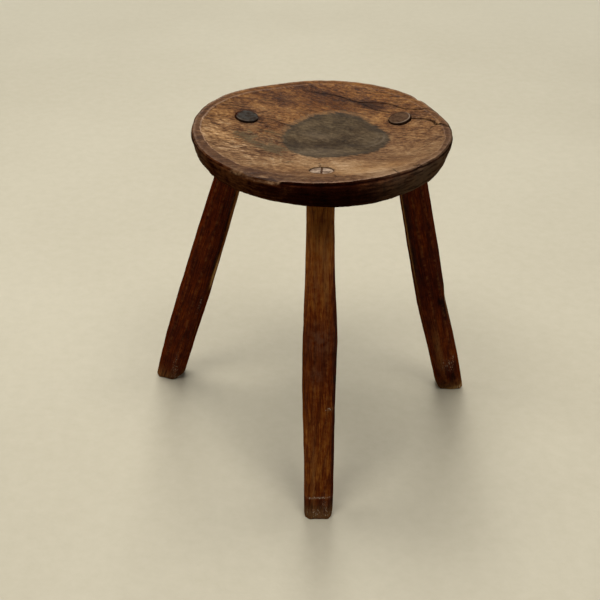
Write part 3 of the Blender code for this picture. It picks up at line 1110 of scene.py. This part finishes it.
def paint_top(piece, x, y, on_top):
    """The top's tones, its rim and its worn edges, the outer one also painted with a highlight."""
    radius, angle = polar(x, y)
    inset = outline(angle) - radius
    inner_edge = rim_inside(angle)
    from_edge = top_reach(angle) - radius
    contrast = patches(x, y, (0.35, -110, 0, 60, 80, 0), (-0.38, 30, -95, 120, 40, 0),
                       (-0.1, 110, -10, 50, 50, 0), (-0.16, -20, 90, 90, 40, 0))
    warmth = smooth_step(-60, 90, y) + 0.25 * smooth_step(-30, -90, y) + 0.4 * smooth_step(80, 125, y)
    # The top's outer edge: worn light, and painted with a highlight.
    outer_edge_wear_and_highlight = around(angle, EDGE_WEAR_AND_HIGHLIGHT) * np.exp(-((from_edge - 0.3) / 1.3) ** 2)
    paint(
        piece,
        patina=PATINA_BASE + patches(x, y, *PATINA_PATCHES),
        contrast=0.9 + contrast,
        warmth=warmth - 0.5 * patch(x, y, -76, -70, 46, 26),
        top=on_top,
        band=smooth_step(-1.0, 1.5, inner_edge - inset) * around(angle, BAND_SHADE),
        ring_gain=0.12 + patches(x, y, (0.6, 84, 108, 60, 20), (0.3, -118, 10, 40, 50)),
        rim_line=inset - inner_edge,
        rim_line_gain=around(angle, RIM_LINE) * on_top,
        edge=np.clip(outer_edge_wear_and_highlight * on_top, 0, 1),
    )


def paint_stain(piece, x, y, on_top):
    """The round stain, the rings and spots in it, and the smudges beside it."""
    radius, angle = polar(x - STAIN_CENTRE[0], y - STAIN_CENTRE[1])
    rings = 0.32 * circle_arc(x, y, (45, 13), 29, -95, 20) + 0.18 * circle_arc(x, y, (45, 13), 22, -80, 40)
    rings += patches(x, y, (0.22, 0, -34, 34, 12, -5), (0.2, -6, 14, 18, 8))
    paint(
        piece,
        stain=radius - around(angle, STAIN_RADIUS),
        stain_rings=np.clip(rings, 0, 1),
        halo=0.2 * smooth_step(0.2, 0.8, np.sin(angle - 0.3)),
        stain_spots=patches(x, y, (0.7, 33, -13, 12, 4, -8), (0.6, 62, 33, 15, 6, -40),
                            (0.45, -32, -16, 9, 14, 0)),
        smudge=on_top * patches(x, y, (0.8, -92, 11, 14, 11, -20), (0.8, -76, -14, 22, 7, -38),
                                (0.8, -52, -27, 17, 15, -25), (0.6, -62, 23, 24, 6),
                                (0.45, -66, 3, 20, 9, -38)),
    )


def paint_grime(piece, x, y, depth, tenons, on_top):
    """Dark dirt and painted shade in the cracks and on either side of them, and a ring of dirt and painted
    shadow round the tenons.
    """
    radius, angle = polar(x, y)
    on_side = (outline(angle) - radius < 2.5) & (depth > 3)
    below = depth - top_depth(x, y)
    grime = np.zeros_like(x)
    for index, (path, widths, depths) in enumerate(CRACKS):
        distance = distance_to_path(x, y, crack_line(index, path)[0])
        # A painted shade along each crack on the top; its walls painted near black, as dirt and shade.
        shade = 0.45 * np.exp(-(distance / (0.6 + 0.45 * max(widths))) ** 2)
        grime = np.maximum(grime, shade * smooth_step(1.5, 0.5, below))
        reach = 0.3 + np.where(on_side, 0.5 * widths[0], 0.7 * max(widths))
        walls = (distance < reach) & (below > 0.2) & (below < max(depths) + 1)
        grime = np.where(walls & ((max(depths) > 5) | (on_top > 0.1)), 0.95, grime)
    # A ring of dirt and painted shadow round each tenon.
    for centre_x, centre_y, tenon_radius in tenons:
        distance = np.hypot(x - centre_x, y - centre_y) - tenon_radius
        grime = np.maximum(grime, 0.45 * np.exp(-(distance / 1.1) ** 2))
    paint(piece, grime=grime)


def paint_side(piece, x, y, depth):
    """The side's tone and dust by direction, a painted shade line just under the top's edge, and the bare
    wood of its splintered stretch.
    """
    radius, angle = polar(x, y)
    inset = outline(angle) - radius
    right = smooth_step(0.45, 0.95, np.cos(angle + 0.35))
    left = smooth_step(0.3, 0.9, -np.cos(angle - 0.35))
    far_left = left**8 * smooth_step(0.88, 0.98, -np.cos(angle - 0.1))
    back = smooth_step(0.0, 0.7, np.sin(angle))
    under = smooth_step(30, 35, depth)
    # A painted shade line just below the top's edge, where the edge overhangs the side; no dust is painted on
    # it.
    overhang_shade = np.exp(-((depth - 2.0) / 0.8) ** 2)
    side_tone = 0.33 + 0.25 * right + 0.36 * left + 0.3 * back + 0.2 * under
    dust = np.clip(0.85 * right**2 + 0.5 * far_left + 0.35 * back, 0, 0.85)
    shallow = smooth_step(5.4, 4.4, depth) * smooth_step(1.0, 3.0, inset + depth)
    paint(
        piece,
        side_tone=side_tone + 0.14 * front_ledge(angle, depth) - 0.3 * overhang_shade,
        side_contrast=0.45 + 0.45 * np.clip(right + 0.4 * left + back, 0, 1),
        dust=dust * (1 - overhang_shade),
        bare=splintered(x, y) * shallow,
    )


def paint_seat(piece, tenons):
    """Everything the seat's material needs to know about each point of it."""
    x, y, depth = seat_local(coordinates(piece))
    radius, angle = polar(x, y)
    below = depth - top_depth(x, y)
    on_top = smooth_step(2.6, 0.8, below) * smooth_step(-0.9, 0.5, top_reach(angle) - radius)
    paint_grain(piece, x, y, depth)
    paint_top(piece, x, y, on_top)
    paint_stain(piece, x, y, on_top)
    paint_grime(piece, x, y, depth, tenons, on_top)
    paint_side(piece, x, y, depth)


# Each leg's tint, its tone by height (heights, then tones), and its marks, as marked() takes them.
LEG_LOOKS = {
    "front_leg": SimpleNamespace(
        tint=(1.0, 0.98, 0.92),
        tone=((0, 22, 30, 100, 180, 215, 250, 330, 360, 380),
              (0.33, 0.38, 0.62, 0.70, 0.52, 0.44, 0.53, 0.76, 0.88, 0.82)),
        marks=((134, -98, 9, 16, -0.14), (118, -84, 6, 14, -0.10), (64, -70, 12, 8, -0.15),
               (120, -40, 130, 8, -0.5), (300, -38, 60, 9, -0.25)),
        worn=((147, -55, 2.5, 9, 0.4), (330, -75, 60, 10, 0.15), (60, -112, 60, 8, 0.15)),
        dull=((236, -95, 18, 40, 0.7), (191, -105, 12, 24, 0.6), (300, -110, 14, 14, 0.3),
              (345, -92, 40, 36, 0.3)),
        chalk=((27, -92, 0.6, 34, 16.0), (147, -60, 0.7, 8, 8.0), (5, -92, 5, 34, 1.5),
               (16, -66, 10, 8, 1.2)),
    ),
    "left_leg": SimpleNamespace(
        tint=(0.90, 0.66, 0.31),
        tone=((0, 40, 120, 250, 380), (0.46, 0.48, 0.48, 0.46, 0.40)),
        marks=((290, -24, 110, 9, -0.36), (150, -28, 90, 5, -0.2), (90, 4, 60, 14, -0.2)),
        worn=((340, 10, 90, 17, 0.4), (222, 4, 12, 13, 0.7), (204, 0, 12, 13, 0.9), (186, 5, 12, 13, 0.8),
              (105, -10, 45, 2.6, 0.3)),
        dull=(),
        chalk=((150, -40, 14, 4, 0.8), (40, -70, 16, 6, 0.8), (22, -56, 14, 8, 0.9), (8, -50, 6, 24, 0.6)),
    ),
    "right_leg": SimpleNamespace(
        tint=(0.76, 0.54, 0.26),
        tone=((0, 30, 60, 130, 190, 260, 340, 380), (0.42, 0.50, 0.60, 0.50, 0.36, 0.40, 0.46, 0.42)),
        marks=((160, -74, 8, 15, -0.40), (140, -62, 16, 12, -0.40), (26, -80, 10, 14, -0.3),
               (300, -150, 90, 12, -0.3), (300, -106, 80, 20, 0.14)),
        worn=((2, -90, 3.5, 60, 0.8), (290, -168, 110, 10, 0.5), (152, -46, 22, 3, 0.5),
              (80, -120, 40, 12, 0.2)),
        dull=(),
        chalk=((50, -98, 8, 14, 1.2), (46, -78, 8, 8, 1.2), (56, -66, 6, 8, 1.0), (2, -70, 2.0, 40, 1.0)),
    ),
}
# Where each tenon's end is rubbed light along its rim, with a painted highlight where the rounded rim catches
# the light: direction, spread and amount.
TENON_LIP_WEAR_AND_HIGHLIGHTS = {"front_leg": (-80, 60, 0.3), "left_leg": (-90, 40, 0.15), "right_leg": (-50, 80, 0.4)}
# Chalky marks and painted highlights above 1 stay whole where weaker ones break up along the grain.
CHALK_AND_HIGHLIGHT_LIMIT = 20.0


def tenon_wear_and_highlights(node, x, y):
    """Light marks on a tenon's end: its rubbed rim with a painted highlight on it, and two painted highlights
    on the front tenon.
    """
    direction, spread, amount = TENON_LIP_WEAR_AND_HIGHLIGHTS[node]
    radius, angle = polar(x, y)
    turn = turn_from(angle, direction) / math.radians(spread)
    rim = LEG_SHAPES[node].tenon - 1.0
    marks = amount * np.exp(-((radius - rim) / 0.5) ** 2 - turn**4)
    # Two painted highlights on the front tenon's end.
    if node == "front_leg":
        marks += patches(x, y, (0.6, -7, -3, 4, 3, 0), (0.6, 5, 4, 7, 3, 0))
    return marks


def paint_leg(piece, node, placement, length):
    """Everything a leg's material needs to know about each point of it."""
    x, y, z = moved(coordinates(piece), placement.inverted()).T / MM
    shape = LEG_SHAPES[node]
    looks = LEG_LOOKS[node]
    radius, angle = polar(x, y)
    facet_turn = 360.0 / FACET_COUNT
    turns = [turn_from(angle, (k + 0.5) * facet_turn) for k in range(FACET_COUNT)]
    corner = np.exp(-(np.min(np.abs(turns), axis=0) / 0.075) ** 2)
    shank = 1 - smooth_step(length - 60, length - 45, z)
    end = smooth_step(length - 2.6, length - 1.6, z)
    # Painted shade with some dirt on the tenon inside the slab's bore, and a dark ring round its end's rim.
    grime = 0.8 * (1 - end) * smooth_step(length - 36, length - 26, z)
    end_rim = 0.7 * end * smooth_step(shape.tenon - 0.9, shape.tenon - 0.1, radius)
    # Chalk on the shaft; on the end, the rubbed rim and the painted highlights.
    chalk = marked(z, angle, looks.chalk) * (1 - end) + end * tenon_wear_and_highlights(node, x, y)
    paint(
        piece,
        **log_coordinates(z, x, y, shape.seed + 61, LEG_PITH, (3.0, 110.0)),
        edge=np.clip(corner * shank + np.exp(-(z / 2.5) ** 2), 0, 1),
        tone=np.interp(z, *looks.tone) + marked(z, angle, looks.marks),
        wear=np.clip(0.25 * np.exp(-(z / 14.0) ** 2) + marked(z, angle, looks.worn), 0, 1),
        dull=np.clip(marked(z, angle, looks.dull), 0, 1),
        chalk=np.clip(chalk, 0, CHALK_AND_HIGHLIGHT_LIMIT),
        end=end,
        grime=np.maximum(grime, end_rim),
    )


# ---------------------------------------------------------------- the pieces

TENON_ENDS = {
    "front_leg": ((0.27, 0.190, 0.135), (0.10, 0.065, 0.044)),
    "left_leg": ((0.045, 0.041, 0.036), (0.024, 0.017, 0.012)),
    "right_leg": ((0.088, 0.050, 0.028), (0.045, 0.024, 0.014)),
}
WEDGE_END = ((0.085, 0.046, 0.028), (0.030, 0.015, 0.009))
WEDGE_TURN = Matrix.Rotation(math.radians(-6.0), 4, "Z")
WEDGE_LENGTH = 22.0
WEDGE_SETBACK = 0.5
WEDGE_BREADTH = 25.8
WEDGE_TOP = 2.0
WEDGE_TIP = 0.9
WEDGE_COLUMNS = 26
WEDGE_ROWS = 16
KERF_BREADTH = 44.0
KERF_GAP = 0.25
KERF_OVERRUN = 6.0
BORE_DEPTH = 80.0
BORE_OVERRUN = 30.0
SHARP_ANGLE = math.radians(50)


def finish_piece(piece, material, node):
    piece.data.materials.append(material)
    piece.data.shade_smooth()
    piece.data.set_sharp_from_angle(angle=SHARP_ANGLE)
    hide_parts(node)
    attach(piece, "root")


def kerf_cutter(placement, length):
    """The saw cut that the wedge stands in: it tapers like the wedge, and runs on past the tenon's end."""
    taper = (WEDGE_TOP - WEDGE_TIP) / 2 / WEDGE_LENGTH
    tip = (length - WEDGE_LENGTH - 1.0, WEDGE_TIP / 2 + KERF_GAP)
    top = (length + KERF_OVERRUN, WEDGE_TOP / 2 + KERF_GAP + KERF_OVERRUN * taper)
    half = KERF_BREADTH / 2
    points = [(x, y, z) for z, w in (tip, top) for x, y in ((w, -half), (w, half), (-w, half), (-w, -half))]
    faces = loft_faces(2, 4) + [(3, 2, 1, 0), (4, 5, 6, 7)]
    return face_out(mesh_object("kerf_cutter", to_world(np.array(points), placement), faces))


def build_leg(node):
    piece, placement, length = leg_mesh(node)
    if node == "front_leg":
        cut_away(piece, [kerf_cutter(placement @ WEDGE_TURN, length)])
    paint_leg(piece, node, placement, length)
    material = leg_material(node + "_wood", *TENON_ENDS[node], LEG_LOOKS[node].tint)
    finish_piece(piece, material, node)
    return placement, length


def build_wedge(placement, length):
    """The wedge: a thin split slip, its end crushed by the mallet."""
    column, row = np.meshgrid(np.linspace(-0.5, 0.5, WEDGE_COLUMNS + 1), np.linspace(0, 1, WEDGE_ROWS + 1))
    half = (WEDGE_TIP + (WEDGE_TOP - WEDGE_TIP) * row.ravel()) / 2
    level = length - WEDGE_LENGTH + (WEDGE_LENGTH - WEDGE_SETBACK) * row.ravel()
    across = WEDGE_BREADTH * column.ravel()
    points = np.vstack([np.column_stack((side * half, across, level)) for side in (1, -1)])
    points[:, 0] += 0.10 * noise(points, (2.5, 2.5, 9), 81)
    top = smooth_step(length - 1.6, length - 0.5, points[:, 2])
    points[:, 2] += top * 0.35 * noise(points, (3, 2, 3), 82)
    sheet = len(level)
    faces = grid_faces(WEDGE_COLUMNS, WEDGE_ROWS)
    faces += [tuple(sheet + k for k in face[::-1]) for face in faces]
    rim = grid_rim(WEDGE_COLUMNS, WEDGE_ROWS)
    faces += [(b, a, sheet + a, sheet + b) for a, b in zip(rim, rim[1:] + rim[:1])]
    piece = face_out(mesh_object("front_wedge_slip", to_world(points, placement @ WEDGE_TURN), faces))
    x, y, z = points.T
    nothing = np.zeros_like(x)
    paint(
        piece,
        **log_coordinates(z, x, y, 91, LEG_PITH),
        edge=nothing, wear=nothing, dull=nothing, chalk=nothing,
        tone=nothing + 0.5,
        end=nothing + 1,
        # Painted shade down the wedge below its top, where it sits in the kerf.
        grime=0.5 * (1 - smooth_step(length - 3, length - 0.6, z)),
    )
    finish_piece(piece, leg_material("wedge_wood_end", *WEDGE_END), "front_wedge")


def build_seat(legs):
    piece = seat_mesh()
    cutters = []
    tenons = []
    for node, (placement, length) in legs.items():
        slack, shift = LEG_SHAPES[node].gap
        radius = LEG_SHAPES[node].tenon + slack
        reach = (length - BORE_DEPTH, length + BORE_OVERRUN)
        cutters.append(bore_cutter(node + "_bore", placement, radius, *reach, shift))
        end_x, end_y, _ = seat_local(to_world(np.array(((0.0, 0.0, length),)), placement))
        tenons.append((end_x[0], end_y[0], radius))
    cutters += [crack_cutter(index, *crack) for index, crack in enumerate(CRACKS)]
    cut_away(piece, cutters)
    paint_seat(piece, tenons)
    finish_piece(piece, seat_material(), "seat")


# ---------------------------------------------------------------- the stage

CAMERA_HEIGHT = 1.02
CAMERA_BACK = 1.2998
CAMERA_LEFT = 0.0239
CAMERA_PITCH = 32.37
CAMERA_ROLL = 0.6
CAMERA_LENS = 72.2
SENSOR_WIDTH = 36.0

FLOOR_REACH = 12.0
FLOOR_DROP = 0.0002
WARM_WHITE = (1.0, 0.97, 0.93)
SOFT_WHITE = (1.0, 0.98, 0.95)
FILL_STRENGTH = 0.07

# Each lamp: name, place, where it aims, its size in metres, its power in watts, and its colour.
OBJECT_MIDDLE = (SEAT_CENTRE.x, SEAT_CENTRE.y, 0.3)
LAMPS = (
    ("ceiling_left", (-0.70, -0.80, 2.8), OBJECT_MIDDLE, 1.0, 27.0, WARM_WHITE),
    ("ceiling_right", (0.60, -0.80, 2.8), OBJECT_MIDDLE, 1.0, 25.0, WARM_WHITE),
    ("ceiling_back", (-0.25, 0.65, 2.8), OBJECT_MIDDLE, 1.2, 40.0, SOFT_WHITE),
    ("far_glow", (0.0, 4.6, 2.6), (0.0, 3.0, 0.0), 2.0, 170.0, (0.98, 0.99, 1.0)),
    ("side_left", (-2.2, 0.7, 1.1), OBJECT_MIDDLE, 1.4, 11.0, SOFT_WHITE),
    ("side_right", (2.2, 0.7, 1.1), OBJECT_MIDDLE, 1.4, 9.0, SOFT_WHITE),
)


def build_floor():
    corners = [(x * FLOOR_REACH, y * FLOOR_REACH, 0) for x, y in ((-1, -1), (1, -1), (1, 1), (-1, 1))]
    floor = mesh_object("floor", corners, [(0, 1, 2, 3)])
    floor.location.z = -FLOOR_DROP
    floor.data.materials.append(floor_material())


def add_lamp(name, location, target, size, power, color):
    light = bpy.data.lights.new(name, "AREA")
    light.shape = "DISK"
    light.size = size
    light.energy = power
    light.color = color
    lamp = add_object(name, light)
    lamp.location = location
    lamp.rotation_euler = (Vector(target) - Vector(location)).to_track_quat("-Z", "Y").to_euler()
    return lamp


def build_world():
    """A weak, even fill for the object; the camera sees the pale backdrop instead."""
    shader = Shader(bpy.data.worlds.new("soft_room"))
    fill = shader.node("Background", {"Color": SOFT_WHITE, "Strength": FILL_STRENGTH}).outputs[0]
    backdrop = shader.node("Background", {"Color": BACKDROP}).outputs[0]
    shader.seen_from_camera(1.0, backdrop, fill, "World Output")
    return shader.owner


def build_lights():
    scene = bpy.context.scene
    scene.view_settings.view_transform = "Standard"
    scene.view_settings.look = "None"
    scene.world = build_world()
    lamps = {lamp[0]: add_lamp(*lamp) for lamp in LAMPS}
    lamps["far_glow"].visible_glossy = False


def build_camera():
    camera = bpy.data.cameras.new("camera")
    camera.lens = CAMERA_LENS
    camera.sensor_width = SENSOR_WIDTH
    viewer = add_object("camera", camera)
    viewer.location = (SEAT_CENTRE.x - CAMERA_LEFT, SEAT_CENTRE.y - CAMERA_BACK, CAMERA_HEIGHT)
    pitch = Matrix.Rotation(math.radians(90.0 - CAMERA_PITCH), 4, "X")
    roll = Matrix.Rotation(math.radians(CAMERA_ROLL), 4, "Z")
    viewer.rotation_euler = (pitch @ roll).to_euler()
    bpy.context.scene.camera = viewer


def main():
    legs = {node: build_leg(node) for node in LEG_SHAPES}
    build_wedge(*legs["front_leg"])
    build_seat(legs)
    build_floor()
    build_lights()
    build_camera()


main()
